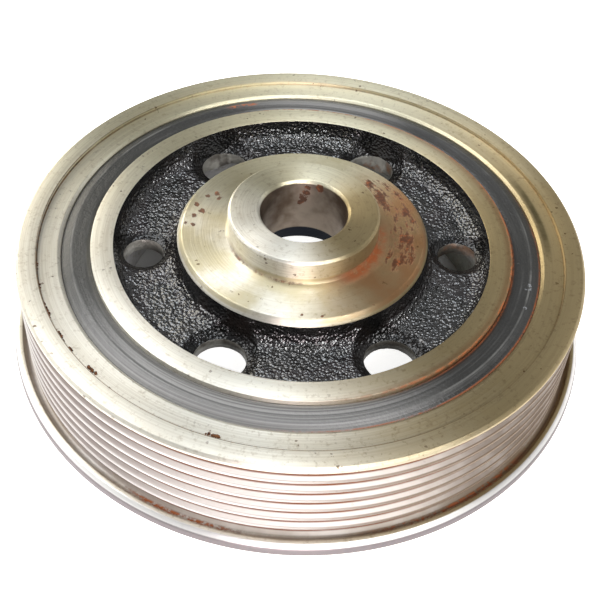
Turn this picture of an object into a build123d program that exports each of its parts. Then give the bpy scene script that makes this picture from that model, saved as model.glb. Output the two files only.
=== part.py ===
from build123d import *

import os
from math import radians, tan

# Crankshaft vibration damper with a ribbed belt ring.
#
# Three pieces share one axis: an iron hub casting, a rubber ring bonded round it, and a
# heavy outer ring that carries the belt ribs. The axis is +Z. The origin is the centre of
# the outer ring's rear face, and the front of the damper faces up. Profiles are drawn in
# the XZ plane, where the first number is a radius and the second a height.
# All sizes are in millimetres.

# ---- Driving dimensions: outer ring -------------------------------------------------
ring_wall = 10.7
groove_count = 7
groove_pitch = 3.56
groove_angle = 40.0
groove_depth = 2.7
rib_land = 0.7
rib_shoulder = 1.5
rim_land_width = 5.0
rim_step = 1.0
rim_edge_chamfer = 0.7
ring_bore_chamfer = 0.8
ring_bore_chamfer_depth = 0.6

# ---- Driving dimensions: guard flange below the last groove -------------------------
flange_root_height = 2.28
flange_root_land = 0.4
flange_rise = 1.12
flange_lip_land = 0.95
flange_edge_drop = 1.2
flange_overhang = 3.6

# ---- Driving dimensions: rubber ring ------------------------------------------------
rubber_thickness = 7.2
rubber_front_recess = 0.9
rubber_rear_recess = 3.5
rubber_inner_slope = 1.3
rubber_inner_drop = 0.6
rubber_outer_slope = 2.5
rubber_outer_drop = 1.0

# ---- Driving dimensions: hub --------------------------------------------------------
hub_rim_radius = 52.1
hub_rim_thickness = 5.5
hub_rim_front_recess = 0.1
hub_rim_rear_recess = 2.0
web_front_depth = 5.7
web_thickness = 4.5
cast_corner = 2.3
cast_draft = 0.3
seat_flange_radius = 31.1
seat_flange_rise = 1.95
seat_flange_chamfer = 1.2
seat_flange_chamfer_depth = 1.55
boss_radius = 18.6
boss_rise = 6.55
boss_chamfer = 0.6
rear_boss_radius = 22.0
rear_boss_height = 3.8
bolt_bore_radius = 10.75
bolt_bore_chamfer = 0.65
nose_bore_radius = 14.0
nose_bore_depth = 7.0

# ---- Driving dimensions: holes through the web --------------------------------------
hole_circle_radius = 39.7
hole_count = 6
large_hole_radius = 6.3
small_hole_radius = 5.0
small_hole_every = 3

# ---- Heights and radii that follow --------------------------------------------------
groove_stack = groove_count * groove_pitch - rib_land
ring_height = rib_shoulder + groove_stack + flange_root_height
ring_bore_radius = hub_rim_radius + rubber_thickness
rib_tip_radius = ring_bore_radius + ring_wall
rim_land_inner_radius = rib_tip_radius - rim_land_width
flange_radius = rib_tip_radius + flange_overhang

hub_rim_front = ring_height - hub_rim_front_recess
hub_rim_inner_radius = hub_rim_radius - hub_rim_thickness
web_front = ring_height - web_front_depth
web_rear = web_front - web_thickness
seat_flange_front = ring_height + seat_flange_rise
boss_front = seat_flange_front + boss_rise
hub_rear = web_rear - rear_boss_height
nose_bore_floor = hub_rear + nose_bore_depth
hole_spacing = 360 / hole_count

os.makedirs("parts", exist_ok=True)


def groove_points(tip_radius, first_edge):
    """Corners of the belt grooves from the front shoulder down, four to a groove."""
    flank_drop = groove_depth * tan(radians(groove_angle / 2))
    root_radius = tip_radius - groove_depth
    points = []
    for groove in range(groove_count):
        upper = first_edge - groove * groove_pitch
        lower = upper - (groove_pitch - rib_land)
        points += [
            (tip_radius, upper),
            (root_radius, upper - flank_drop),
            (root_radius, lower + flank_drop),
            (tip_radius, lower),
        ]
    return points


# ---- Outer ring: stepped front face, belt grooves and guard flange ------------------
ring_front_edge = [
    (ring_bore_radius, ring_height - rim_step - ring_bore_chamfer_depth),
    (ring_bore_radius + ring_bore_chamfer, ring_height - rim_step),
    (rim_land_inner_radius, ring_height - rim_step),
    (rim_land_inner_radius, ring_height),
    (rib_tip_radius - rim_edge_chamfer, ring_height),
    (rib_tip_radius, ring_height - rim_edge_chamfer),
]
flange_lip_height = flange_root_height + flange_rise
flange_lip_inner = rib_tip_radius + flange_root_land + flange_rise
flange_outline = [
    (rib_tip_radius + flange_root_land, flange_root_height),
    (flange_lip_inner, flange_lip_height),
    (flange_lip_inner + flange_lip_land, flange_lip_height),
    (flange_radius, flange_lip_height - flange_edge_drop),
    (flange_radius, 0),
]

with BuildPart() as pulley_ring:
    with BuildSketch(Plane.XZ):
        with BuildLine():
            Polyline(
                *ring_front_edge,
                *groove_points(rib_tip_radius, ring_height - rib_shoulder),
                *flange_outline,
                (ring_bore_radius, 0),
                close=True,
            )
        make_face()
    revolve(axis=Axis.Z)

pulley_ring.part.label = "pulley_ring"
export_step(pulley_ring.part, "parts/pulley_ring.step")

# ---- Rubber ring: bonded between the hub rim and the outer ring ---------------------
rubber_front = ring_height - rubber_front_recess
rubber_outline = [
    (hub_rim_radius, rubber_rear_recess),
    (hub_rim_radius, rubber_front - rubber_inner_drop),
    (hub_rim_radius + rubber_inner_slope, rubber_front),
    (ring_bore_radius - rubber_outer_slope, rubber_front),
    (ring_bore_radius, rubber_front - rubber_outer_drop),
    (ring_bore_radius, rubber_rear_recess),
]

with BuildPart() as damper_rubber:
    with BuildSketch(Plane.XZ):
        with BuildLine():
            Polyline(*rubber_outline, close=True)
        make_face()
    revolve(axis=Axis.Z)

damper_rubber.part.label = "damper_rubber"
export_step(damper_rubber.part, "parts/damper_rubber.step")


# ---- Hub: bolt boss, seat flange, thin web and rim in one casting -------------------
seat_wall_foot = seat_flange_radius + cast_draft
rim_wall_foot = hub_rim_inner_radius - cast_draft
hub_front_outline = [
    (bolt_bore_radius, boss_front - bolt_bore_chamfer),
    (bolt_bore_radius + bolt_bore_chamfer, boss_front),
    (boss_radius - boss_chamfer, boss_front),
    (boss_radius, boss_front - boss_chamfer),
    (boss_radius, seat_flange_front),
    (seat_flange_radius - seat_flange_chamfer, seat_flange_front),
    (seat_flange_radius, seat_flange_front - seat_flange_chamfer_depth),
    (seat_wall_foot, web_front + cast_corner),
    (seat_wall_foot + cast_corner, web_front),
    (rim_wall_foot - cast_corner, web_front),
    (rim_wall_foot, web_front + cast_corner),
    (hub_rim_inner_radius, hub_rim_front),
    (hub_rim_radius, hub_rim_front),
]
hub_rear_outline = [
    (hub_rim_radius, hub_rim_rear_recess),
    (hub_rim_inner_radius, hub_rim_rear_recess),
    (rim_wall_foot, web_rear),
    (rear_boss_radius + cast_draft, web_rear),
    (rear_boss_radius, hub_rear),
    (nose_bore_radius, hub_rear),
    (nose_bore_radius, nose_bore_floor),
    (bolt_bore_radius, nose_bore_floor),
]

with BuildPart() as hub:
    with BuildSketch(Plane.XZ):
        with BuildLine():
            Polyline(*hub_front_outline, *hub_rear_outline, close=True)
        make_face()
    revolve(axis=Axis.Z)
    for hole in range(hole_count):
        is_small = hole % small_hole_every == 0
        hole_radius = small_hole_radius if is_small else large_hole_radius
        with BuildSketch(Plane.XY.offset(web_front)):
            with PolarLocations(hole_circle_radius, 1, start_angle=hole * hole_spacing):
                Circle(hole_radius)
        extrude(amount=-web_thickness, mode=Mode.SUBTRACT)

hub.part.label = "hub"
export_step(hub.part, "parts/hub.step")
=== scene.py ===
# %% [markdown]
# # A crankshaft vibration damper
#
# The real part is three rings on one axis. A cast iron hub carries a raised boss for the
# crankshaft bolt, a ring of rubber is bonded round the hub, and a heavy turned iron ring
# with seven belt grooves is bonded round the rubber. Almost every surface was cut on a
# lathe, so almost every surface here is a profile spun about the Z axis. The one surface
# no tool touched is the black, sand-cast web between the boss and the hub's rim.
#
# Lengths are written in millimetres and turned into metres where the meshes and the
# finishes are made. The scale of a noise is no length: it counts grains in a metre, so
# 1000 gives grains about a millimetre across.

import math
import random

import bmesh
import bpy
from mathutils import Matrix, Vector, noise


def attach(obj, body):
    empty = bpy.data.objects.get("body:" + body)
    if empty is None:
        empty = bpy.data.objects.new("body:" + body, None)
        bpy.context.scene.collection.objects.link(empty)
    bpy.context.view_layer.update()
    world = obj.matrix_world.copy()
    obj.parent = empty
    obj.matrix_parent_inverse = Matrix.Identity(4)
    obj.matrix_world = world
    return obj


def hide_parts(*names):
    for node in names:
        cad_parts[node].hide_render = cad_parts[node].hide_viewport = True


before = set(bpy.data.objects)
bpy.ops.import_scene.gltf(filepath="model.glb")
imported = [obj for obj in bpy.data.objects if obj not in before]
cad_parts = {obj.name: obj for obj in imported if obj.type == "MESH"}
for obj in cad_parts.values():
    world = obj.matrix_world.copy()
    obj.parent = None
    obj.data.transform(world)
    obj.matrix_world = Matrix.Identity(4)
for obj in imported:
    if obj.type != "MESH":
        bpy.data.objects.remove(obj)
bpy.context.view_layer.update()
MM = 0.001
print("frame nodes:", sorted(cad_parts))

# %% [markdown]
# ## Spun rings
#
# A lathe makes a shape by turning a profile. Blender can do the same with the spin
# operator: draw half the section as a chain of points, then sweep it once round. A plain
# chain of points gives knife-sharp corners, though, and a real corner always has a small
# rounding that catches the light. So the profile starts life as a flat face, its corners
# are rounded with a vertex bevel while it is still flat, and only then is it spun. That
# costs a few points on the profile and nothing else.

# %% A profile with rounded corners
def rounded_profile(mesh, corners):
    """Draws (radius, height, rounding) corners as one loop of edges in the XZ plane."""
    loop = [mesh.verts.new((radius * MM, 0, height * MM)) for radius, height, _ in corners]
    mesh.faces.new(loop)
    for rounding in sorted({rounding for _, _, rounding in corners}):
        chosen = [vert for vert, corner in zip(loop, corners) if corner[2] == rounding]
        bmesh.ops.bevel(
            mesh,
            geom=chosen,
            offset=rounding * MM,
            offset_type="OFFSET",
            segments=3,
            profile=0.5,
            affect="VERTICES",
            material=-1,
            clamp_overlap=True,
        )
    bmesh.ops.delete(mesh, geom=mesh.faces[:], context="FACES_ONLY")
    print("profile points:", len(mesh.verts))


# %% The profile spun into a closed ring
RING_STEPS = 360


def spin_about_axis(mesh, steps=RING_STEPS):
    """Sweeps everything in the mesh once round Z and turns its faces outwards."""
    bmesh.ops.spin(
        mesh,
        geom=mesh.verts[:] + mesh.edges[:],
        cent=(0, 0, 0),
        axis=(0, 0, 1),
        dvec=(0, 0, 0),
        angle=math.tau,
        steps=steps,
        use_merge=True,
        use_duplicate=False,
    )
    bmesh.ops.remove_doubles(mesh, verts=mesh.verts[:], dist=1e-7)
    bmesh.ops.recalc_face_normals(mesh, faces=mesh.faces[:])


def count_triangles(data):
    return sum(len(face.vertices) - 2 for face in data.polygons)


def finished_object(mesh, name, materials, sharp_angle=30):
    """Turns a bmesh into an object at the origin, smooth but for its sharp edges."""
    data = bpy.data.meshes.new(name)
    for face in mesh.faces:
        face.smooth = True
    for edge in mesh.edges:
        bend = edge.calc_face_angle(0) if len(edge.link_faces) == 2 else 0
        edge.smooth = bend < math.radians(sharp_angle)
    mesh.to_mesh(data)
    mesh.free()
    for material in materials:
        data.materials.append(material)
    piece = bpy.data.objects.new(name, data)
    bpy.context.scene.collection.objects.link(piece)
    print(f"{name}: {count_triangles(data)} triangles")
    return piece


# %% [markdown]
# ## Describing a finish with nodes
#
# Each finish below is a small web of shader nodes. Writing the nodes out by hand takes
# many lines that all look alike, so a little workbench does the wiring: each method adds
# one node and returns its output, and outputs go straight into the next call.

# %% A workbench for node materials
class Workbench:
    """Builds one procedural material, with methods named for what each node does."""

    def __init__(self, name):
        self.material = bpy.data.materials.new(name)
        self.material.use_nodes = True
        self.tree = self.material.node_tree
        self.shader = self.tree.nodes["Principled BSDF"]
        self.place = self.tree.nodes.new("ShaderNodeTexCoord").outputs["Object"]

    def plug(self, socket, value):
        """Wires an output to a socket, or sets the socket to a number or a colour."""
        if isinstance(value, bpy.types.NodeSocket):
            self.tree.links.new(value, socket)
        elif isinstance(value, tuple) and len(value) == 3 and len(socket.default_value) == 4:
            socket.default_value = (*value, 1)
        else:
            socket.default_value = value

    def surface(self, socket, value):
        """Plugs a value into one socket of the surface's own shader."""
        self.plug(self.shader.inputs[socket], value)

    def vector_math(self, operation, first, second=None):
        node = self.tree.nodes.new("ShaderNodeVectorMath")
        node.operation = operation
        self.plug(node.inputs[0], first)
        if second is not None:
            self.plug(node.inputs[1], second)
        numeric = operation in ("LENGTH", "DOT_PRODUCT", "DISTANCE")
        return node.outputs["Value" if numeric else "Vector"]

    def math(self, operation, first, second=0.0, clamp=False):
        node = self.tree.nodes.new("ShaderNodeMath")
        node.operation = operation
        node.use_clamp = clamp
        self.plug(node.inputs[0], first)
        self.plug(node.inputs[1], second)
        return node.outputs[0]

    def chain(self, operation, first, *others):
        """Joins values with one operation, from left to right."""
        result = first
        for other in others:
            result = self.math(operation, result, other)
        return result

    def product(self, *values):
        return self.chain("MULTIPLY", *values)

    def total(self, *values):
        return self.chain("ADD", *values)

    def largest(self, *values):
        return self.chain("MAXIMUM", *values)

    def ramp(self, value, low, high, to_low=0.0, to_high=1.0):
        """Eases from to_low to to_high while value goes from low to high."""
        node = self.tree.nodes.new("ShaderNodeMapRange")
        node.interpolation_type = "SMOOTHSTEP"
        for socket, number in zip(node.inputs[:5], (value, low, high, to_low, to_high)):
            self.plug(socket, number)
        return node.outputs[0]

    def band(self, value, centre, half_width, fade):
        """One inside a band of values round centre, nought outside it."""
        away = self.math("ABSOLUTE", self.math("SUBTRACT", value, centre))
        return self.ramp(away, half_width, half_width + fade, 1.0, 0.0)

    def noise(self, scale, detail=2.0, roughness=0.5, place=None, output="Fac"):
        """Soft grains, so many in a metre. The output "Color" holds three noises at once."""
        node = self.tree.nodes.new("ShaderNodeTexNoise")
        self.plug(node.inputs["Vector"], self.place if place is None else place)
        node.inputs["Scale"].default_value = scale
        node.inputs["Detail"].default_value = detail
        node.inputs["Roughness"].default_value = roughness
        return node.outputs[output]

    def cells(self, scale, place=None):
        """The distance to the nearest of many scattered points, so many in a metre."""
        node = self.tree.nodes.new("ShaderNodeTexVoronoi")
        self.plug(node.inputs["Vector"], self.place if place is None else place)
        node.inputs["Scale"].default_value = scale
        return node.outputs["Distance"]

    def mix(self, share, first, second):
        """Goes from the first colour to the second as share goes from nought to one."""
        node = self.tree.nodes.new("ShaderNodeMix")
        node.data_type = "RGBA"
        self.plug(node.inputs["Factor"], share)
        self.plug(node.inputs[6], first)
        self.plug(node.inputs[7], second)
        return node.outputs[2]

    def blend(self, share, first, second):
        """Goes from the first number to the second as share goes from nought to one."""
        node = self.tree.nodes.new("ShaderNodeMix")
        node.data_type = "FLOAT"
        self.plug(node.inputs["Factor"], share)
        self.plug(node.inputs[2], first)
        self.plug(node.inputs[3], second)
        return node.outputs[0]

    def bump(self, height, millimetres, strength, normal=None):
        """Tilts the shading as if the surface rose by a height of one to so many mm."""
        node = self.tree.nodes.new("ShaderNodeBump")
        node.inputs["Strength"].default_value = strength
        node.inputs["Distance"].default_value = millimetres * MM
        self.plug(node.inputs["Height"], height)
        if normal is not None:
            self.plug(node.inputs["Normal"], normal)
        return node.outputs[0]

    def finished(self):
        """Says how much was wired and hands the material over."""
        print(f"{self.material.name}: {len(self.tree.nodes)} nodes")
        return self.material


# %% [markdown]
# The damper's wear follows its shape: a line of grime sits in a ring of one radius, rust
# creeps up to one height, one side is cleaner than the other. So the workbench gets a
# second half that speaks of radii, heights and sides. Each mask is one where its mark
# lies and nought elsewhere. The product of two masks means "and", the largest means "or".

# %% Masks that follow the shape of the damper
QUARTER_TURN = 0.25


class Finish(Workbench):
    """A workbench that knows where on the damper a point of the surface lies."""

    def __init__(self, name):
        super().__init__(name)
        split = self.tree.nodes.new("ShaderNodeSeparateXYZ")
        self.tree.links.new(self.place, split.inputs[0])
        self.height = split.outputs["Z"]
        radial = self.vector_math("MULTIPLY", self.place, (1, 1, 0))
        self.radius = self.vector_math("LENGTH", radial)
        self.outward = self.vector_math("NORMALIZE", radial)
        self.along = self.vector_math("CROSS_PRODUCT", (0, 0, 1), self.outward)

    def at_radius(self, middle, half_width, fade):
        return self.band(self.radius, middle * MM, half_width * MM, fade * MM)

    def at_height(self, middle, half_width, fade):
        return self.band(self.height, middle * MM, half_width * MM, fade * MM)

    def outside(self, low, high, to_low=0.0, to_high=1.0):
        return self.ramp(self.radius, low * MM, high * MM, to_low, to_high)

    def inside(self, low, high):
        return self.outside(low, high, 1.0, 0.0)

    def above(self, low, high, to_low=0.0, to_high=1.0):
        return self.ramp(self.height, low * MM, high * MM, to_low, to_high)

    def below(self, low, high):
        return self.above(low, high, 1.0, 0.0)

    def near(self, spots):
        """One at the centre of each (x, y, z, reach) spot, nought past its reach."""
        shares = []
        for x, y, z, reach in spots:
            away = self.vector_math("DISTANCE", self.place, (x * MM, y * MM, z * MM))
            shares.append(self.ramp(away, 0.0, reach * MM, 1.0, 0.0))
        return self.largest(*shares)

    def facing(self, degrees, low, high):
        """One on the side towards an angle about Z. Low and high are cosines from it."""
        turn = math.radians(degrees)
        towards = (math.cos(turn), math.sin(turn), 0)
        return self.ramp(self.vector_math("DOT_PRODUCT", self.outward, towards), low, high)

    def ring_noise(self, height, drift, scale, detail, roughness=0.5):
        """Noise drawn out round the part, with only drift millimetres to change in a turn."""
        node = self.tree.nodes.new("ShaderNodeCombineXYZ")
        self.plug(node.inputs[0], self.radius)
        self.plug(node.inputs[1], height)
        slow = self.vector_math("MULTIPLY", self.outward, (drift * MM, drift * MM, 0))
        place = self.vector_math("ADD", node.outputs[0], slow)
        return self.noise(scale, detail, roughness, place)

    def lathe_lines(self, scale, detail=3.0):
        """Noise that changes with radius and height but hardly at all round the part."""
        return self.ring_noise(self.height, 0.8, scale, detail)

    def scratched_round(self, strength):
        """Spreads light across circular scratches instead of along them."""
        self.surface("Anisotropic", strength)
        self.surface("Anisotropic Rotation", QUARTER_TURN)
        self.surface("Tangent", self.along)


# %% [markdown]
# ## Turned iron
#
# A lathe leaves thousands of fine circular scratches. Light that meets them spreads
# sideways across the scratches and hardly along them, which is what makes the bright fans
# on a turned face. The shader calls this anisotropy. Its tangent runs round the axis, along
# the scratches, and is then turned a quarter, because the light spreads across them. That
# holds on flat faces, on walls and on the grooves alike. A bump could make scratches this
# fine instead, but it would sparkle with noise at every size of picture.
#
# Bare iron ages unevenly. Most of this ring has yellowed, and a patch at the back has an olive
# tint. One side is paler: the iron there is clean and also carries a painted highlight where the
# bright fans fall. The side away from the lights is darker: tarnish where it was handled, and
# painted shade. Rust starts where it can hold water: at the step, at the foot of the boss, and
# in the roots of the grooves.

# %% Colours of the iron, and the sides they lie on in degrees about Z
CLEAN_HIGHLIGHT_IRON = (0.80, 0.775, 0.69)
YELLOWED_IRON = (0.80, 0.76, 0.575)
OLIVE_IRON = (0.50, 0.455, 0.29)
TARNISHED_SHADED_IRON = (0.43, 0.34, 0.185)
STAIN = (0.26, 0.19, 0.10)
BROWN_RUST = (0.062, 0.020, 0.005)
ORANGE_RUST = (0.30, 0.085, 0.022)
# The clean side also carries a painted highlight, and the tarnished side carries painted shade.
CLEAN_HIGHLIGHT_SIDE = 228
OLIVE_SIDE = 118
TARNISH_AND_SHADE_SIDE = -18
print("iron is clean at", CLEAN_HIGHLIGHT_SIDE, "degrees and tarnished at", TARNISH_AND_SHADE_SIDE)


# %% The noises that all wear of the iron shares
class IronFinish(Finish):
    """A finish for machined iron, with lines from the tool and grains for the wear."""

    def __init__(self, name):
        super().__init__(name)
        self.lines = self.lathe_lines(2600)
        self.blotches = self.noise(70, 4.0, 0.6)
        self.fine = self.noise(900, 3.0, 0.6)
        self.mottle = self.noise(800, 4.0, 0.7)

    def in_blotches(self, low, high, to_low=0.0, to_high=1.0):
        return self.ramp(self.blotches, low, high, to_low, to_high)


def bare_iron(finish):
    """The colour of the iron on each side of the part before any rust: clean with a painted
    highlight on one side, tarnished with painted shade on the other.
    """
    side = finish.facing(TARNISH_AND_SHADE_SIDE, 0.0, 1.0)
    broad_lines = finish.lathe_lines(420, 2.0)
    tarnish = finish.total(
        side, finish.product(finish.blotches, 0.40), finish.product(broad_lines, 0.35)
    )
    tarnish = finish.math("SUBTRACT", tarnish, 0.30, clamp=True)
    # Whiter towards the clean side, which is partly a painted highlight.
    iron = finish.mix(finish.facing(CLEAN_HIGHLIGHT_SIDE, -0.05, 0.75), YELLOWED_IRON, CLEAN_HIGHLIGHT_IRON)
    olive = finish.product(finish.facing(OLIVE_SIDE, 0.84, 0.99), 0.5)
    iron = finish.mix(olive, iron, OLIVE_IRON)
    # Darker towards the tarnished side, which is partly painted shade.
    iron = finish.mix(tarnish, iron, TARNISHED_SHADED_IRON)
    iron = finish.mix(finish.ramp(finish.lines, 0.30, 0.62, 0.80, 1.0), STAIN, iron)
    stained = finish.product(finish.ramp(finish.mottle, 0.52, 0.70), finish.blend(side, 0.32, 0.60))
    return finish.mix(stained, iron, STAIN)


def freckles(finish):
    """Small rust freckles, scattered and of uneven size."""
    ragged = finish.noise(1500, output="Color")
    ragged = finish.vector_math("MULTIPLY", ragged, (1.1 * MM, 1.1 * MM, 1.1 * MM))
    dots = finish.cells(520, finish.vector_math("ADD", finish.place, ragged))
    sizes = finish.ramp(finish.noise(300), 0.46, 0.66, 0.0, 0.24)
    dots = finish.ramp(finish.math("SUBTRACT", dots, sizes), -0.06, 0.0, 1.0, 0.0)
    return finish.product(dots, finish.in_blotches(0.40, 0.60))


# %% Machined iron, with its rust and wear
def turned_iron(name, rust_mask, wear, spots=(), dust_mask=None):
    """Machined iron with rust where rust_mask and the spots say, worn as wear says."""
    finish = IronFinish(name)
    colour = wear(finish, bare_iron(finish))

    rust, fresh = rust_mask(finish)
    if spots:
        speck = finish.product(finish.near(spots), 0.5)
        speck = finish.total(speck, finish.product(finish.fine, 0.9))
        rust = finish.largest(rust, finish.ramp(speck, 0.70, 0.80, 0.0, 0.95))
    fresh = finish.largest(fresh, finish.ramp(finish.fine, 0.48, 0.74, 0.0, 0.7))
    colour = finish.mix(rust, colour, finish.mix(fresh, BROWN_RUST, ORANGE_RUST))
    small = finish.product(freckles(finish), finish.above(26.2, 26.6, 0.15, 0.75))
    colour = finish.mix(small, colour, finish.mix(fresh, BROWN_RUST, STAIN))
    finish.surface("Base Color", colour)

    bare = finish.blend(rust, 1.0, 0.0)
    if dust_mask is not None:
        bare = finish.product(bare, finish.blend(dust_mask(finish), 1.0, 0.35))
    finish.surface("Metallic", bare)
    thick = finish.product(rust, rust)
    uneven = finish.blend(finish.blotches, 0.35, 0.47)
    finish.surface("Roughness", finish.blend(thick, uneven, 0.8))
    finish.scratched_round(0.8)

    turned = finish.bump(finish.lines, 0.06, 0.7)
    pitted = finish.bump(finish.mottle, 0.05, 0.4, turned)
    crust = finish.bump(finish.product(thick, finish.fine), 0.05, 0.6, pitted)
    finish.surface("Normal", crust)
    return finish.finished()


# %% [markdown]
# ## The belt ring
#
# The outer ring is the flywheel of the damper: a thick iron ring with a step turned in its
# front face, seven V grooves for a ribbed belt, and a flange at the back that keeps the
# belt from walking off. Each groove has a 40 degree angle, a flat rib between it and the
# next one, and softly rounded tips and roots, because the belt wears sharp ones away.
#
# The flange has a low lip at its edge and a channel at its foot, where water stands.

# %% Sizes of the belt ring
GROOVES = 7
GROOVE_PITCH = 3.56
GROOVE_DEPTH = 2.7
RIB_LAND = 0.7
FLANK_DROP = GROOVE_DEPTH * math.tan(math.radians(20))
RIB_TIP = 70.0
GROOVE_ROOT = RIB_TIP - GROOVE_DEPTH
RING_HEIGHT = 28.0
FIRST_GROOVE = RING_HEIGHT - 1.5
RING_BORE = 59.3
STEP_RADIUS = 65.0
STEP_HEIGHT = RING_HEIGHT - 1.0
FLANGE_RADIUS = 73.55
FLANGE_EDGE = 2.2
LIP_HEIGHT = 3.40
CHANNEL_FLOOR = 2.28
print("grooves:", GROOVES, "at a pitch of", GROOVE_PITCH, "mm round", 2 * RIB_TIP, "mm")


# %% The belt ring's profile
def groove_corners():
    """The corners of all grooves, from the front one down to the flange."""
    corners = []
    for groove in range(GROOVES):
        upper = FIRST_GROOVE - groove * GROOVE_PITCH
        lower = upper - (GROOVE_PITCH - RIB_LAND)
        corners += [
            (RIB_TIP, upper, 0.16),
            (GROOVE_ROOT, upper - FLANK_DROP, 0.22),
            (GROOVE_ROOT, lower + FLANK_DROP, 0.22),
            (RIB_TIP, lower, 0.16),
        ]
    return corners


belt_ring_corners = [
    (RING_BORE, STEP_HEIGHT - 0.6, 0.08),
    (RING_BORE + 0.8, STEP_HEIGHT, 0.08),
    (STEP_RADIUS, STEP_HEIGHT, 0.12),
    (STEP_RADIUS, RING_HEIGHT, 0.08),
    (RIB_TIP - 0.7, RING_HEIGHT, 0.12),
    (RIB_TIP, RING_HEIGHT - 0.7, 0.12),
    *groove_corners(),
    (RIB_TIP + 0.4, CHANNEL_FLOOR, 0.3),
    (71.52, LIP_HEIGHT, 0.12),
    (72.47, LIP_HEIGHT, 0.3),
    (FLANGE_RADIUS, FLANGE_EDGE, 0.4),
    (FLANGE_RADIUS, 0.4, 0.08),
    (FLANGE_RADIUS - 0.4, 0, 0.08),
    (RING_BORE + 0.6, 0, 0.08),
    (RING_BORE, 0.6, 0.08),
]
print("belt ring corners:", len(belt_ring_corners))


# %% Rust on the belt ring
def on_grooved_wall(finish):
    return finish.at_height(RING_HEIGHT / 2, 12.2, 0.4)


def in_grooves(finish):
    """One on the grooved wall of the belt ring, nought on its front and its flange."""
    outside = finish.outside(GROOVE_ROOT - 0.3, GROOVE_ROOT - 0.1)
    off_flange = finish.inside(RIB_TIP + 0.6, RIB_TIP + 1.0)
    return finish.product(on_grooved_wall(finish), outside, off_flange)


def belt_ring_rust(finish):
    """Rust in the groove roots and in the channel above the flange."""
    root = finish.product(
        finish.inside(RIB_TIP - 1.4, RIB_TIP - 1.0),
        finish.outside(GROOVE_ROOT - 1.1, GROOVE_ROOT - 0.7),
        on_grooved_wall(finish),
        finish.in_blotches(0.30, 0.62, 0.80, 1.0),
    )
    worst = finish.largest(finish.facing(246, 0.965, 0.995), finish.facing(300, 0.92, 0.99))
    channel = finish.product(
        finish.at_height(2.6, 0.4, 0.9),
        finish.at_radius(RIB_TIP + 0.7, 0.6, 0.6),
        finish.ramp(finish.total(finish.fine, finish.blotches), 0.88, 1.10, 0.10, 1.0),
        finish.blend(worst, 0.14, 1.0),
    )
    fresh = finish.largest(finish.product(channel, worst), finish.product(root, 0.6))
    return finish.largest(root, channel), fresh


# %% Wear on the belt ring
STEP_GRIME_AND_SHADE = (0.050, 0.026, 0.011)
STEP_RUST = (0.22, 0.12, 0.045)
GREASE = (0.085, 0.070, 0.034)
CLEAN_FLANK = (0.84, 0.80, 0.77)
DARKER_FLANK = (0.20, 0.155, 0.145)
BROWN_FLANK = (0.17, 0.13, 0.105)
CLEAN_LAND = (0.80, 0.77, 0.74)
DARKER_LAND = (0.55, 0.52, 0.50)
BROWN_LAND = (0.15, 0.105, 0.075)
POLISHED_HIGHLIGHT_LIP = (0.93, 0.92, 0.91)
SHADED_EDGE = (0.17, 0.14, 0.145)


def step_line(finish, colour):
    """A dark, broken line in the corner of the step and a finer one on its brink: grime and rust,
    with painted shade in the corner.
    """
    corner = finish.product(
        finish.at_radius(STEP_RADIUS - 0.04, 0.07, 0.24), finish.at_height(STEP_HEIGHT, 0.30, 0.20)
    )
    brink = finish.product(
        finish.at_radius(STEP_RADIUS + 0.08, 0.08, 0.10),
        finish.above(RING_HEIGHT - 0.3, RING_HEIGHT - 0.1, 0.0, 0.75),
    )
    # The line is grime and rust and also painted shade, strongest on the left.
    line = finish.product(
        finish.largest(corner, brink),
        finish.blend(finish.facing(215, 0.0, 0.6), 0.45, 0.95),
        finish.in_blotches(0.25, 0.55, 0.65, 1.0),
    )
    line_colour = finish.mix(finish.ramp(finish.fine, 0.36, 0.58), STEP_GRIME_AND_SHADE, STEP_RUST)
    return finish.mix(line, colour, line_colour)


def greasy_smear(finish, colour):
    """A short dark smear on the front face, just outside the rubber."""
    smear = finish.product(
        finish.at_radius(61.4, 0.30, 1.00),
        finish.facing(10, 0.955, 0.995),
        finish.in_blotches(0.30, 0.60, 0.35, 0.85),
        finish.above(26.2, 26.6),
    )
    return finish.mix(smear, colour, GREASE)


def groove_tones(finish, colour):
    """Darker grooves on one side, browner grooves on the other."""
    darker_side = finish.facing(192, 0.45, 0.96)
    brown = finish.product(
        finish.facing(-20, 0.25, 0.95), finish.in_blotches(0.25, 0.60, 0.60, 0.95)
    )
    flank = finish.mix(darker_side, CLEAN_FLANK, DARKER_FLANK)
    flank = finish.mix(brown, flank, BROWN_FLANK)
    land = finish.mix(finish.facing(-30, 0.10, 0.80), CLEAN_LAND, BROWN_LAND)
    land = finish.mix(darker_side, land, DARKER_LAND)
    wall = finish.mix(finish.inside(RIB_TIP - 0.4, RIB_TIP - 0.1), land, flank)
    return finish.mix(finish.product(in_grooves(finish), 0.88), colour, wall)


def flange_wear(finish, colour):
    """A pale lip, polished and with a painted highlight, painted shade on the outer edge, and
    stains in the channel.
    """
    lip = finish.product(
        finish.outside(FLANGE_RADIUS - 1.35, FLANGE_RADIUS - 1.05), 0.85, finish.above(0.1, 0.3)
    )
    # The polished lip also carries a painted highlight.
    colour = finish.mix(lip, colour, POLISHED_HIGHLIGHT_LIP)
    # The outer edge is painted shade.
    edge = finish.product(finish.outside(FLANGE_RADIUS - 0.35, FLANGE_RADIUS - 0.15), 0.9)
    colour = finish.mix(edge, colour, SHADED_EDGE)
    channel = finish.product(
        finish.at_height(3.0, 1.0, 1.2),
        finish.inside(71.6, 72.0),
        finish.in_blotches(0.30, 0.60, 0.05, 0.40),
    )
    return finish.mix(channel, colour, STAIN)


def belt_ring_wear(finish, colour):
    """Everything that use has left on the belt ring, apart from its rust."""
    for layer in (step_line, greasy_smear, groove_tones, flange_wear):
        colour = layer(finish, colour)
    return colour


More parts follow.
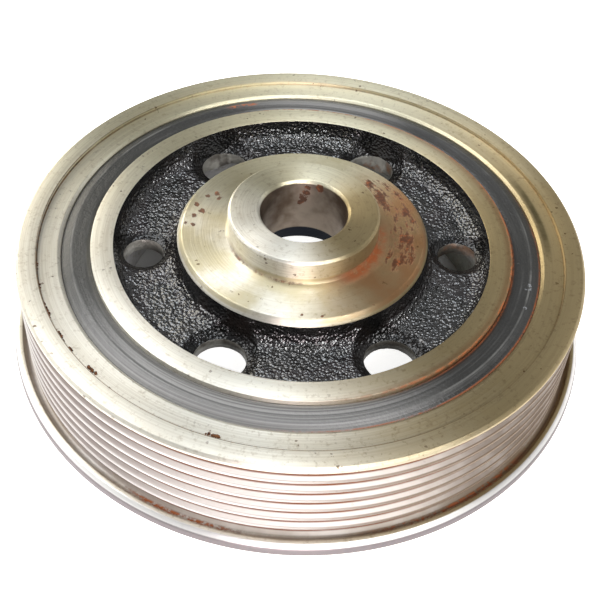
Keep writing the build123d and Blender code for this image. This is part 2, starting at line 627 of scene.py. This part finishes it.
# %% Make the belt ring
belt_ring_iron = turned_iron(
    "belt_ring_iron", belt_ring_rust, belt_ring_wear, dust_mask=in_grooves
)
belt_ring_mesh = bmesh.new()
rounded_profile(belt_ring_mesh, belt_ring_corners)
spin_about_axis(belt_ring_mesh)
belt_ring = finished_object(belt_ring_mesh, "belt_ring", [belt_ring_iron], sharp_angle=20)
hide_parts("pulley_ring")
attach(belt_ring, "root")

# %% [markdown]
# ## The rubber ring
#
# The rubber is squeezed between the two irons, so its face bulges a little into a low
# ridge and sinks at both bonds. It is a spun profile too, with large roundings because
# rubber has no sharp edges. Its face has been scuffed in circles, so it has fine lines too.

# %% Sizes and colours of the rubber ring
HUB_RIM = 52.1
RIDGE_RADIUS = 56.8
RUBBER = (0.012, 0.012, 0.011)
WORN_RUBBER = (0.020, 0.020, 0.018)
RUBBER_DUST = (0.12, 0.12, 0.115)
SHEEN_GREY = (0.225, 0.222, 0.215)
WORN_HIGHLIGHT_RIDGE = (0.16, 0.16, 0.15)
SCUFF = (0.36, 0.38, 0.40)
SCUFF_SPOTS = [(54.3, -16.1, 27.1, 2.2), (52.2, -23.0, 27.1, 0.8)]
rubber_corners = [
    (HUB_RIM, 3.5, 0.3),
    (HUB_RIM, 26.5, 0.25),
    (HUB_RIM + 1.3, 27.05, 0.6),
    (55.6, 27.0, 0.8),
    (RIDGE_RADIUS, 27.1, 0.5),
    (57.7, 26.8, 0.5),
    (RING_BORE, 26.1, 0.3),
    (RING_BORE, 3.5, 0.3),
    (56.0, 3.9, 1.2),
]
print("rubber ring corners:", len(rubber_corners))


# %% The rubber finish
def worn_rubber_and_sheen(finish, lines, blotches):
    """Dark rubber with circles of dust, a painted sheen on two sides, and a ridge worn pale with a
    painted highlight.
    """
    colour = finish.mix(finish.facing(200, -0.6, 0.9), RUBBER, WORN_RUBBER)
    dust = finish.product(
        finish.ramp(lines, 0.45, 0.75), finish.ramp(blotches, 0.35, 0.7), 0.40
    )
    colour = finish.mix(dust, colour, RUBBER_DUST)
    # A painted sheen on two sides, drawn along the lines.
    painted_sheen = finish.product(
        finish.largest(finish.facing(252, 0.55, 0.97), finish.facing(82, 0.86, 1.04)),
        finish.ramp(lines, 0.34, 0.62, 0.25, 1.0),
    )
    colour = finish.mix(painted_sheen, colour, SHEEN_GREY)
    # The ridge is worn and also lighter with a painted highlight.
    ridge = finish.product(
        finish.at_radius(RIDGE_RADIUS, 0.10, 0.22), finish.ramp(blotches, 0.35, 0.65, 0.1, 0.5)
    )
    return finish.mix(ridge, colour, WORN_HIGHLIGHT_RIDGE)


def rust_from_bonds(finish, fine, blotches):
    """Rust that has crept out of both bonds, and one streak of it on the ridge."""
    inner = finish.product(
        finish.at_radius(HUB_RIM + 0.1, 0.20, 0.50), finish.facing(20, -0.35, 0.35)
    )
    outer = finish.product(
        finish.at_radius(RING_BORE - 0.1, 0.15, 0.40), finish.facing(-40, 0.35, 0.85)
    )
    broken = finish.ramp(finish.total(fine, blotches), 0.72, 1.12, 0.15, 1.0)
    streak = finish.product(
        finish.at_radius(RIDGE_RADIUS - 0.2, 0.25, 0.60),
        finish.facing(106, 0.9962, 0.9988),
        finish.ramp(fine, 0.36, 0.56),
    )
    return finish.largest(finish.product(finish.largest(inner, outer), broken, 0.8), streak)


def scuffs(finish, fine):
    """Pale scuffs where something hard has knocked the rubber."""
    knocked = finish.total(finish.near(SCUFF_SPOTS), finish.product(fine, 1.2))
    return finish.product(
        finish.ramp(knocked, 0.98, 1.30), finish.ramp(fine, 0.50, 0.62, 0.0, 0.5)
    )


def bonded_rubber(name):
    """Dark grey rubber, scuffed in circles, with rust that has crept out of the bonds."""
    finish = Finish(name)
    lines = finish.lathe_lines(1500)
    blotches = finish.noise(90, 4.0, 0.6)
    fine = finish.noise(1100, 3.0, 0.6)
    rust = rust_from_bonds(finish, fine, blotches)
    colour = finish.mix(rust, worn_rubber_and_sheen(finish, lines, blotches), ORANGE_RUST)
    finish.surface("Base Color", finish.mix(scuffs(finish, fine), colour, SCUFF))
    finish.surface("Roughness", finish.blend(rust, 0.37, 0.8))
    finish.surface("Specular IOR Level", 0.8)
    finish.scratched_round(0.85)
    marks = finish.bump(lines, 0.12, 0.8)
    finish.surface("Normal", finish.bump(fine, 0.24, 0.7, marks))
    return finish.finished()


# %% Make the rubber ring
rubber_mesh = bmesh.new()
rounded_profile(rubber_mesh, rubber_corners)
spin_about_axis(rubber_mesh)
rubber_finish = bonded_rubber("bonded_rubber")
rubber_ring = finished_object(rubber_mesh, "rubber_ring", [rubber_finish], sharp_angle=40)
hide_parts("damper_rubber")
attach(rubber_ring, "root")

# %% [markdown]
# ## The hub casting
#
# The hub is one casting with two kinds of surface. The boss, the seat flange and the rim
# were cut on the lathe and are smooth. The web between them is as the sand left it: rough
# beads, generous fillets, and a flared mouth at each hole. A bump texture can't make that
# roughness, because its outline shows against the bright flange, so the beads are real.
#
# The profile is cut into short steps where it is cast, spun finely, and each cast point is
# then moved along its normal by a noise that looks like packed grains.

# %% Sizes of the hub
RIM_INNER = 46.6
RIM_FRONT = 27.9
RIM_REAR = 2.0
WEB_FRONT = 22.3
WEB_REAR = 17.8
WEB_SPLIT = WEB_FRONT - 3
SEAT_RADIUS = 31.1
SEAT_FRONT = 29.95
SEAT_EDGE = SEAT_FRONT - 1.55
BOSS_RADIUS = 18.6
BOSS_FRONT = 36.5
BOLT_BORE = 10.75
NOSE_BORE = 14.0
NOSE_FLOOR = 21.0
HUB_REAR = 14.0
REAR_BOSS = 22.0
CAST_FILLET = 3.5
print("web thickness:", round(WEB_FRONT - WEB_REAR, 2), "mm")

# %% The hub's profile
hub_corners = [
    (BOLT_BORE, NOSE_FLOOR, 0.1),
    (BOLT_BORE, BOSS_FRONT - 0.65, 0.12),
    (BOLT_BORE + 0.65, BOSS_FRONT, 0.12),
    (BOSS_RADIUS - 0.6, BOSS_FRONT, 0.16),
    (BOSS_RADIUS, BOSS_FRONT - 0.6, 0.16),
    (BOSS_RADIUS, SEAT_FRONT, 0.9),
    (SEAT_RADIUS - 1.2, SEAT_FRONT, 0.3),
    (SEAT_RADIUS, SEAT_EDGE, 0.25),
    (SEAT_RADIUS + 0.3, WEB_FRONT, CAST_FILLET),
    (RIM_INNER - 0.3, WEB_FRONT, CAST_FILLET),
    (RIM_INNER, RIM_FRONT, 0.12),
    (HUB_RIM, RIM_FRONT, 0.12),
    (HUB_RIM, RIM_REAR, 0.2),
    (RIM_INNER, RIM_REAR, 0.2),
    (RIM_INNER - 0.3, WEB_REAR, CAST_FILLET),
    (REAR_BOSS + 0.3, WEB_REAR, 3.0),
    (REAR_BOSS, HUB_REAR, 0.3),
    (NOSE_BORE + 0.8, HUB_REAR, 0.1),
    (NOSE_BORE, HUB_REAR + 0.8, 0.1),
    (NOSE_BORE, NOSE_FLOOR, 0.2),
]
hub_mesh = bmesh.new()
rounded_profile(hub_mesh, hub_corners)


# %% Cut the cast part of the profile into short steps
FRONT_STEP = 0.34
REAR_STEP = 1.1
HUB_STEPS = 540
SLACK = 0.01


def is_cast(radius, height):
    """Whether a point of the hub, in millimetres, was left as the sand made it."""
    if height > WEB_SPLIT:
        inner, low, high = SEAT_RADIUS, WEB_SPLIT, SEAT_EDGE - 0.05
    else:
        inner, low, high = REAR_BOSS, RIM_REAR, WEB_SPLIT
    return inner - SLACK < radius < RIM_INNER + SLACK and low < height < high


def subdivide_cast_profile(mesh):
    """Splits each edge of the profile that lies on a cast face to about one step's length."""
    for edge in mesh.edges[:]:
        middle = (edge.verts[0].co + edge.verts[1].co) / 2 / MM
        if not is_cast(middle.x, middle.z):
            continue
        step = FRONT_STEP if middle.z > WEB_SPLIT else REAR_STEP
        cuts = int(edge.calc_length() / MM / step)
        if cuts:
            bmesh.ops.subdivide_edges(mesh, edges=[edge], cuts=cuts, use_grid_fill=False)


subdivide_cast_profile(hub_mesh)
print("hub profile points after subdivision:", len(hub_mesh.verts))
spin_about_axis(hub_mesh, HUB_STEPS)
print("hub faces after the spin:", len(hub_mesh.faces))

# %% Sort the faces by how they were made
MACHINED, CAST, DRILLED, BARE, MOUTH = range(5)
for face in hub_mesh.faces:
    centre = face.calc_center_median() / MM
    if is_cast(math.hypot(centre.x, centre.y), centre.z):
        face.material_index = CAST if centre.z > WEB_SPLIT else BARE
    else:
        face.material_index = MACHINED
print("cast faces:", sum(face.material_index != MACHINED for face in hub_mesh.faces))

# %% [markdown]
# ## Flared holes and sand grains
#
# The pattern left a dimple in the sand mould for each of the six holes, and each was then
# drilled through its dimple, so every hole has a trumpet mouth. Those of the four large
# holes are wider and deeper. The cast points near a hole's axis are lowered along a smooth
# curve before the drill goes through. The grains are a cell noise: the distance to the
# nearest of many scattered points gives packed round beads. They are calmed towards the
# machined edges, which cut them off clean, and in the mouths.

# %% The holes and their mouths
HOLES = 6
HOLE_CIRCLE = 39.7
LARGE_HOLE = 6.3
SMALL_HOLE = 5.0
LARGE_MOUTH = (2.9, 1.6)  # how far it flares past the hole, and how deep it is
SMALL_MOUTH = (2.2, 1.1)
MOUTH_CURVE = 0.9
HOLE_AXES = []
for hole in range(HOLES):
    turn = math.tau * hole / HOLES
    hole_x, hole_y = HOLE_CIRCLE * math.cos(turn), HOLE_CIRCLE * math.sin(turn)
    HOLE_AXES.append((hole_x, hole_y, SMALL_HOLE if hole % 3 == 0 else LARGE_HOLE))
print("hole radii:", [radius for _, _, radius in HOLE_AXES])


def smooth(value):
    value = max(0.0, min(1.0, value))
    return value * value * (3 - 2 * value)


def mouth_share(x, y):
    """How far into the flared mouth of a hole a point lies, and how deep that mouth is."""
    for hole_x, hole_y, radius in HOLE_AXES:
        flare, depth = LARGE_MOUTH if radius == LARGE_HOLE else SMALL_MOUTH
        away = math.hypot(x - hole_x, y - hole_y) - radius
        if away < flare:
            return (1 - max(away, 0) / flare) ** MOUTH_CURVE, depth
    return 0.0, 0.0


def mouth_drop(share, depth, height):
    """How far a cast point sinks into a mouth. That fades out up the web's fillets."""
    above = height - WEB_FRONT
    reach = 1 - smooth((above - 1.5) / 3.0)
    return share * reach * (depth + max(above, 0))


# %% The grains
GRAIN_HEIGHT = 0.20
REAR_GRAIN = 0.8
BEAD_SIZE = 0.80
LUMP_SIZE = 2.3
SPECK_SIZE = 0.5
EDGE_CALM = 0.8
MOUTH_CALM = 0.6


def grain(place):
    """Height of the sand-cast beads at a place in millimetres, from about -1 to 1."""
    beads = noise.voronoi(place / BEAD_SIZE)[0][0]
    lumps = noise.noise(place / LUMP_SIZE)
    specks = noise.noise(place / SPECK_SIZE)
    return (0.45 - beads) * 1.4 + lumps * 0.7 + specks * 0.5


def cast_move(vert):
    """Where the sand would have left a cast point, measured from the smooth profile."""
    place = vert.co / MM
    share, depth, grain_share, edge_distance = 0.0, 0.0, REAR_GRAIN, 1.0
    if place.z > WEB_SPLIT:
        share, depth = mouth_share(place.x, place.y)
        grain_share = 1.0
        edge_distance = min(abs(SEAT_EDGE - place.z), abs(RIM_FRONT - place.z))
    calm = smooth(edge_distance / EDGE_CALM) * (1 - MOUTH_CALM * smooth(share * 2.5))
    rise = grain(place) * GRAIN_HEIGHT * grain_share * calm
    sink = mouth_drop(share, depth, place.z)
    return vert.normal * rise * MM + Vector((0, 0, -sink * MM))


# %% Lower the mouths and raise the grains
hub_mesh.normal_update()
moves = [
    (vert, cast_move(vert))
    for vert in hub_mesh.verts
    if is_cast(math.hypot(vert.co.x, vert.co.y) / MM, vert.co.z / MM)
]
for vert, move in moves:
    vert.co += move
for face in hub_mesh.faces:
    centre = face.calc_center_median() / MM
    if face.material_index == CAST and mouth_share(centre.x, centre.y)[0] > 0.10:
        face.material_index = MOUTH
print("cast points moved:", len(moves))

# %% [markdown]
# ## Paint and drill
#
# Each face of the hub takes one of five finishes. The lathe left bare machined iron. The
# front of the web is black paint on beads, glossy enough that every grain has its spark,
# and the mouths of the holes are a duller black. The walls of the holes are grey drilled
# iron. At the back, where the paint missed it, the casting is raw.
#
# The drill is a cylinder taken away by a boolean, which leaves its own finish on the wall.

# %% Colours of the hub
BLACK_PAINT = (0.0025, 0.0025, 0.0025)
BROWNED_PAINT = (0.009, 0.007, 0.006)
CLEAN_WALL = (0.24, 0.23, 0.205)
TARNISHED_SHADED_WALL = (0.085, 0.080, 0.066)
DIRTY_WALL = (0.075, 0.066, 0.055)
RUSTY_WALL = (0.22, 0.105, 0.050)
RAW_CASTING = (0.25, 0.245, 0.245)
SHADED_CASTING = (0.10, 0.10, 0.080)
CASTING_STAIN = (0.075, 0.070, 0.056)
CASTING_RUST = (0.11, 0.045, 0.02)
YELLOWED_SEAT = (0.52, 0.46, 0.29)
RUST_WASH = (0.40, 0.19, 0.078)
RIM_RUST = (0.24, 0.10, 0.04)
BORE_GREY = (0.27, 0.22, 0.175)
BORE_BROWN = (0.11, 0.075, 0.052)
SHADED_NOSE_BORE = (0.012, 0.014, 0.020)


# %% The cast, drilled and raw finishes
def sand_cast_paint(name, sheen, index):
    """Black paint on raw casting. A high sheen and index give each grain its spark."""
    finish = Finish(name)
    fine = finish.noise(1300)
    blotches = finish.noise(160, 3.0, 0.6)
    paint = finish.mix(finish.ramp(blotches, 0.35, 0.75), BLACK_PAINT, BROWNED_PAINT)
    finish.surface("Base Color", paint)
    finish.surface("Roughness", finish.ramp(fine, 0.3, 0.7, 0.12, 0.26))
    finish.surface("Specular IOR Level", sheen)
    finish.surface("IOR", index)
    mouths = [(x, y, WEB_FRONT, radius + 3.0) for x, y, radius in HOLE_AXES]
    rough_part = finish.ramp(finish.near(mouths), 0.02, 0.20, 1.0, 0.45)
    patchy = finish.ramp(finish.noise(430), 0.40, 0.60, 0.70, 1.0)
    beads = finish.product(finish.cells(1300), -1.0, rough_part, patchy)
    beaded = finish.bump(beads, 0.40, 0.9)
    speckled = finish.bump(finish.product(fine, rough_part), 0.10, 0.7, beaded)
    finish.surface("Normal", speckled)
    return finish.finished()


def drilled_wall(name):
    """Grey drilled iron with rust in some of the holes, darker on one side with tarnish and painted
    shade.
    """
    finish = Finish(name)
    fine = finish.noise(900, 3.0, 0.6)
    blotches = finish.noise(220, 3.0, 0.6)
    # Darker towards the tarnished side: tarnish and painted shade.
    clean = finish.mix(finish.facing(TARNISH_AND_SHADE_SIDE, 0.30, 0.95), CLEAN_WALL, TARNISHED_SHADED_WALL)
    colour = finish.mix(finish.ramp(blotches, 0.42, 0.68), clean, DIRTY_WALL)
    rusty = finish.product(
        finish.facing(45, 0.6, 0.9), finish.ramp(blotches, 0.48, 0.66, 0.0, 0.7)
    )
    finish.surface("Base Color", finish.mix(rusty, colour, RUSTY_WALL))
    finish.surface("Metallic", 0.4)
    finish.surface("Roughness", finish.ramp(fine, 0.3, 0.7, 0.36, 0.52))
    finish.surface("Normal", finish.bump(fine, 0.10, 0.5))
    return finish.finished()


def bare_casting(name):
    """Grey-brown raw iron, as the casting was left at the back, where the paint missed it, with
    painted shade on one side.
    """
    finish = Finish(name)
    fine = finish.noise(900, 3.0, 0.6)
    blotches = finish.noise(150, 3.0, 0.6)
    # Darker towards the tarnished side, as painted shade.
    colour = finish.mix(finish.facing(TARNISH_AND_SHADE_SIDE, -0.6, 0.7), RAW_CASTING, SHADED_CASTING)
    stained = finish.product(finish.ramp(blotches, 0.40, 0.72), 0.45)
    colour = finish.mix(stained, colour, CASTING_STAIN)
    rusty = finish.ramp(finish.total(fine, blotches), 1.14, 1.32, 0.0, 0.35)
    finish.surface("Base Color", finish.mix(rusty, colour, CASTING_RUST))
    finish.surface("Metallic", 0.25)
    finish.surface("Roughness", finish.ramp(fine, 0.3, 0.7, 0.45, 0.65))
    finish.surface("Normal", finish.bump(fine, 0.15, 0.7))
    return finish.finished()


# %% Spots of rust on the hub, as (x, y, z, reach)
FLANGE_SPECKS = [
    (-26.7, 8.8, 29.95, 1.7),
    (-25.2, 6.4, 29.95, 1.9),
    (-27.0, 4.7, 29.95, 1.5),
    (-23.8, 12.1, 29.95, 1.5),
    (-21.5, 13.0, 29.95, 1.7),
    (-21.0, 11.4, 29.95, 1.4),
    (-27.0, 1.6, 29.95, 1.5),
    (-28.9, 1.9, 29.7, 1.4),
    (3.6, -28.9, 29.95, 0.8),
    (-1.0, -28.6, 29.95, 0.8),
]
BORE_SPOTS = [
    (1.6, 10.6, 34.6, 2.0),
    (1.0, 10.7, 32.8, 1.8),
    (0.4, 10.7, 30.9, 2.6),
    (-0.4, 10.7, 29.6, 1.8),
    (4.2, 9.9, 34.8, 2.6),
]
print("rust spots:", len(FLANGE_SPECKS), "on the flange and", len(BORE_SPOTS), "in the bore")


# %% Rust on the machined hub
def foot_rust(finish, broken):
    """Fresh rust at the foot of the boss on one side, and a thin line on another."""
    foot = finish.product(
        finish.at_radius(BOSS_RADIUS + 0.8, 0.50, 2.60),
        finish.facing(-30, 0.68, 0.95),
        finish.ramp(broken, 0.38, 0.56, 0.38, 1.0),
    )
    line = finish.product(
        finish.at_radius(BOSS_RADIUS + 0.4, 0.10, 0.40),
        finish.facing(236, 0.75, 0.97),
        finish.ramp(broken, 0.40, 0.60, 0.15, 0.9),
    )
    return finish.largest(foot, line), finish.product(foot, 0.7)


def seat_streaks(finish, broken, on_seat):
    """Streaks along the turning lines on one side of the flange, and pepper all over it."""
    field = finish.product(
        finish.at_radius(25.2, 2.0, 4.2), finish.facing(6, 0.58, 0.85), on_seat
    )
    drawn_out = finish.ring_noise(0.0, 7.0, 480, 4.0, 0.65)
    ragged = finish.blend(0.66, broken, drawn_out)
    streaks = finish.ramp(finish.total(finish.product(field, 0.22), ragged), 0.668, 0.75)
    streaks = finish.product(streaks, finish.ramp(field, 0.05, 0.35))
    pepper = finish.product(finish.ramp(broken, 0.655, 0.70, 0.0, 0.7), on_seat)
    return finish.largest(streaks, pepper)


def rim_bond_rust(finish, broken):
    """Rust on the outer edge of the rim, where the rubber is bonded to it."""
    return finish.product(
        finish.at_radius(HUB_RIM - 0.1, 0.14, 0.34),
        finish.facing(15, -0.45, 0.35),
        finish.above(27.2, 27.4),
        finish.ramp(broken, 0.36, 0.56, 0.10, 0.9),
    )


def bore_blots(finish, broken):
    blots = finish.total(finish.product(finish.near(BORE_SPOTS), 0.36), broken)
    return finish.product(
        finish.ramp(blots, 0.70, 0.78), finish.inside(BOLT_BORE + 0.10, BOLT_BORE + 0.25)
    )


def hub_rust(finish):
    """Rust at the foot of the boss, down the bore, and in streaks on the seat flange."""
    on_seat = finish.at_height(SEAT_FRONT + 0.25, 0.6, 0.5)
    broken = finish.noise(330, 6.0, 0.72)
    foot, fresh = foot_rust(finish, broken)
    bond = rim_bond_rust(finish, broken)
    rust = finish.largest(
        finish.product(foot, on_seat),
        finish.largest(seat_streaks(finish, broken, on_seat), bond),
        bore_blots(finish, broken),
    )
    return rust, finish.largest(fresh, bond)


# %% Wear on the machined hub
def hub_wear(finish, colour):
    """A brown wash on one side of the flange and rim, a darker bore, and painted shade deep in the
    nose bore.
    """
    on_seat = finish.at_height(SEAT_FRONT + 0.25, 1.0, 0.5)
    yellowed = finish.product(on_seat, finish.in_blotches(0.36, 0.62, 0.15, 0.85))
    colour = finish.mix(yellowed, colour, YELLOWED_SEAT)
    wash = finish.product(
        finish.facing(-12, 0.15, 0.90), finish.in_blotches(0.30, 0.62, 0.30, 0.85), on_seat
    )
    colour = finish.mix(wash, colour, RUST_WASH)
    rim = finish.product(
        finish.at_radius(HUB_RIM, 0.7, 1.6), finish.facing(0, -0.10, 0.70), 0.45
    )
    colour = finish.mix(rim, colour, RIM_RUST)
    bore = finish.product(
        finish.inside(BOLT_BORE + 0.10, BOLT_BORE + 0.35),
        finish.below(BOSS_FRONT - 1.0, BOSS_FRONT - 0.5),
    )
    # Painted shade deep in the nose bore, nearly black.
    deep = finish.product(
        finish.inside(NOSE_BORE + 0.30, NOSE_BORE + 0.40),
        finish.below(NOSE_FLOOR, NOSE_FLOOR + 0.4),
    )
    bore_tone = finish.mix(finish.in_blotches(0.40, 0.62), BORE_GREY, BORE_BROWN)
    colour = finish.mix(finish.largest(bore, deep), colour, bore_tone)
    return finish.mix(deep, colour, SHADED_NOSE_BORE)


# %% Give the hub its finishes, in the order of the face sorts
hub_finishes = [
    turned_iron("hub_machined_iron", hub_rust, hub_wear, FLANGE_SPECKS),
    sand_cast_paint("hub_cast_black", sheen=0.72, index=1.68),
    drilled_wall("hub_drilled"),
    bare_casting("hub_bare_casting"),
    sand_cast_paint("hub_mouth_black", sheen=0.40, index=1.5),
]
hub = finished_object(hub_mesh, "hub_casting", hub_finishes)

# %% Drill the six holes
DRILL_LENGTH = 30
DRILL_MIDDLE = 20
drill_mesh = bmesh.new()
for hole_x, hole_y, radius in HOLE_AXES:
    bmesh.ops.create_cone(
        drill_mesh,
        cap_ends=True,
        segments=72,
        radius1=radius * MM,
        radius2=radius * MM,
        depth=DRILL_LENGTH * MM,
        matrix=Matrix.Translation((hole_x * MM, hole_y * MM, DRILL_MIDDLE * MM)),
    )
for face in drill_mesh.faces:
    face.material_index = DRILLED
drill = finished_object(drill_mesh, "drill", hub_finishes)
cut = hub.modifiers.new("holes", "BOOLEAN")
cut.operation = "DIFFERENCE"
cut.solver = "EXACT"
cut.material_mode = "INDEX"
cut.object = drill
drilled_data = bpy.data.meshes.new_from_object(
    hub.evaluated_get(bpy.context.evaluated_depsgraph_get())
)
hub.modifiers.clear()
hub.data = drilled_data
bpy.data.objects.remove(drill)
print("hub triangles after drilling:", count_triangles(hub.data))
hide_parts("hub")
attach(hub, "root")

# %% [markdown]
# ## Rust crumbs along the step
#
# Loose rust has gathered in the corner of the step on the left. Each crumb is a small
# dented ball that sits in the corner. They are one piece, because nobody would pick one
# up alone.

# %% Crumbs in the corner of the step, as (angle, spread, count, distance from the corner)
CRUMB_CLUSTERS = [
    (203.5, 0.8, 12, 0.0),
    (210.0, 0.7, 10, 0.1),
    (215.0, 0.5, 8, 0.2),
    (222.0, 0.55, 20, 0.55),
    (251.5, 0.60, 16, 0.65),
    (214.0, 16.0, 26, 0.0),
]
WIDE_SPREAD = 2
HEAPED_CRUMBS = (0.12, 0.40)
STRAY_CRUMBS = (0.08, 0.24)
SIT_IN, SIT_UP = 0.6, 0.35
DENT, DENT_SCALE = 0.45, 5
crumb_random = random.Random(8)
crumb_mesh = bmesh.new()
for middle, spread, count, inset in CRUMB_CLUSTERS:
    sizes = HEAPED_CRUMBS if spread < WIDE_SPREAD else STRAY_CRUMBS
    for _ in range(count):
        turn = math.radians(crumb_random.gauss(middle, spread))
        size = crumb_random.uniform(*sizes)
        radius = STEP_RADIUS - inset - size * SIT_IN - abs(crumb_random.gauss(0, 0.16))
        height = STEP_HEIGHT + size * SIT_UP
        place = Vector((radius * math.cos(turn), radius * math.sin(turn), height))
        made = bmesh.ops.create_icosphere(
            crumb_mesh,
            subdivisions=2,
            radius=size * MM,
            matrix=Matrix.Translation(place * MM),
        )
        for vert in made["verts"]:
            dent = 1 + DENT * noise.noise(vert.co / MM * DENT_SCALE)
            vert.co = place * MM + (vert.co - place * MM) * dent

# %% Make the crumbs
DARK_CRUMB = (0.030, 0.014, 0.008)
ORANGE_CRUMB = (0.17, 0.065, 0.022)


def rust_crumb(name):
    """Dull rust, dark and orange in grains."""
    finish = Finish(name)
    fine = finish.noise(2200, 3.0, 0.6)
    colour = finish.mix(finish.ramp(fine, 0.4, 0.6), DARK_CRUMB, ORANGE_CRUMB)
    finish.surface("Base Color", colour)
    finish.surface("Roughness", 0.9)
    return finish.finished()


crumbs = finished_object(crumb_mesh, "rust_crumbs", [rust_crumb("rust_crumb")], sharp_angle=60)
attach(crumbs, "root")

# %% [markdown]
# ## Floor, lights and camera
#
# The damper lies on a white sheet that glows a little, so it has next to no shadow. Under
# its web the sheet is dimmed, because little of the room's light gets there, and so the
# walls of the holes don't mirror a glow. Six soft lights stand round the damper. Where a
# light's mirror direction crosses the turning lines, a bright fan appears, so the places of
# the lights decide where the fans fall. The world is bright at the horizon and darker
# above, which gives the walls and the grooves a pale sky to mirror and leaves the flat
# faces to the lights.

# %% A glowing white floor
OPEN_GLOW, SHADED_GLOW = 0.85, 0.02
OPEN_PAPER, SHADED_PAPER = (0.9, 0.9, 0.9), (0.42, 0.42, 0.42)
SHADE_STARTS, SHADE_ENDS = (34.0, 41.0), (60.0, 73.0)
floor_mesh = bmesh.new()
bmesh.ops.create_grid(
    floor_mesh,
    x_segments=1,
    y_segments=1,
    size=1.6,
    matrix=Matrix.Translation((0, 0, -0.4 * MM)),
)
sheet = Finish("floor_white")
shaded = sheet.product(sheet.outside(*SHADE_STARTS), sheet.inside(*SHADE_ENDS))
sheet.surface("Emission Strength", sheet.blend(shaded, OPEN_GLOW, SHADED_GLOW))
sheet.surface("Emission Color", (1, 1, 1))
sheet.surface("Base Color", sheet.mix(shaded, OPEN_PAPER, SHADED_PAPER))
sheet.surface("Roughness", 0.9)
sheet.surface("Specular IOR Level", 0.0)
floor = finished_object(floor_mesh, "floor", [sheet.finished()])


# %% Soft lights
LIT_POINT = Vector((0, 0, 0.02))
WHITE = (1, 1, 1)


def soft_light(name, place, size, power, colour=WHITE):
    """An area light, (width, height) in size, that faces the middle of the damper."""
    data = bpy.data.lights.new(name, "AREA")
    data.shape = "RECTANGLE"
    data.size, data.size_y = size
    data.energy = power
    data.color = colour
    light = bpy.data.objects.new(name, data)
    light.location = place
    light.rotation_euler = (LIT_POINT - Vector(place)).to_track_quat("-Z", "Y").to_euler()
    bpy.context.scene.collection.objects.link(light)
    print(f"{name}: {power} W from {place}")


soft_light("left_window", (-0.53, 0.28, 0.80), (0.60, 0.50), 4.8)
soft_light("back_left", (-0.62, 0.78, 0.38), (0.45, 0.45), 3.0, (1.0, 0.94, 0.80))
soft_light("overhead", (-0.05, 0.16, 0.95), (0.30, 0.30), 2.1, (0.88, 0.94, 1.0))
soft_light("beside_camera", (0.30, -0.52, 0.62), (0.60, 0.16), 4.4)
soft_light("low_front", (-0.05, -0.80, 0.26), (0.40, 0.18), 3.2, (1.0, 0.87, 0.89))
soft_light("right_fill", (0.66, 0.36, 0.60), (0.40, 0.40), 0.45)

# %% A soft room, bright at the horizon
HORIZON = (0.10, 0.22)
LOW_SKY, HIGH_SKY = 0.95, 0.33
SKY_COLOUR = (0.98, 0.99, 1.0, 1)
world = bpy.data.worlds.new("soft_room")
world.use_nodes = True
room = world.node_tree
sky_place = room.nodes.new("ShaderNodeTexCoord")
sky_split = room.nodes.new("ShaderNodeSeparateXYZ")
horizon = room.nodes.new("ShaderNodeMapRange")
horizon.interpolation_type = "SMOOTHSTEP"
for socket, number in zip(horizon.inputs[1:5], (*HORIZON, LOW_SKY, HIGH_SKY)):
    socket.default_value = number
room.links.new(sky_place.outputs["Generated"], sky_split.inputs[0])
room.links.new(sky_split.outputs["Z"], horizon.inputs[0])
room.links.new(horizon.outputs[0], room.nodes["Background"].inputs["Strength"])
room.nodes["Background"].inputs["Color"].default_value = SKY_COLOUR
bpy.context.scene.world = world
bpy.context.scene.view_settings.view_transform = "Standard"
print("world strength:", LOW_SKY, "at the horizon,", HIGH_SKY, "above")

# %% The camera, at the angle a person standing over the part would see it from
LENS = 65.27
SENSOR = 36.0
CAMERA_PLACE = (-0.013803, -0.197396, 0.212899)
CAMERA_RIGHT = Vector((0.99873, -0.02637, 0.04289))
CAMERA_UP = Vector((-0.01037, 0.72593, 0.68769))
CAMERA_BACK = Vector((-0.04927, -0.68726, 0.72474))
camera_data = bpy.data.cameras.new("camera")
camera_data.lens = LENS
camera_data.sensor_width = SENSOR
camera = bpy.data.objects.new("camera", camera_data)
camera_turn = Matrix((CAMERA_RIGHT, CAMERA_UP, CAMERA_BACK)).transposed().to_4x4()
camera.matrix_world = Matrix.Translation(CAMERA_PLACE) @ camera_turn
bpy.context.scene.collection.objects.link(camera)
bpy.context.scene.camera = camera
print("camera lens:", LENS, "mm, from", CAMERA_PLACE)
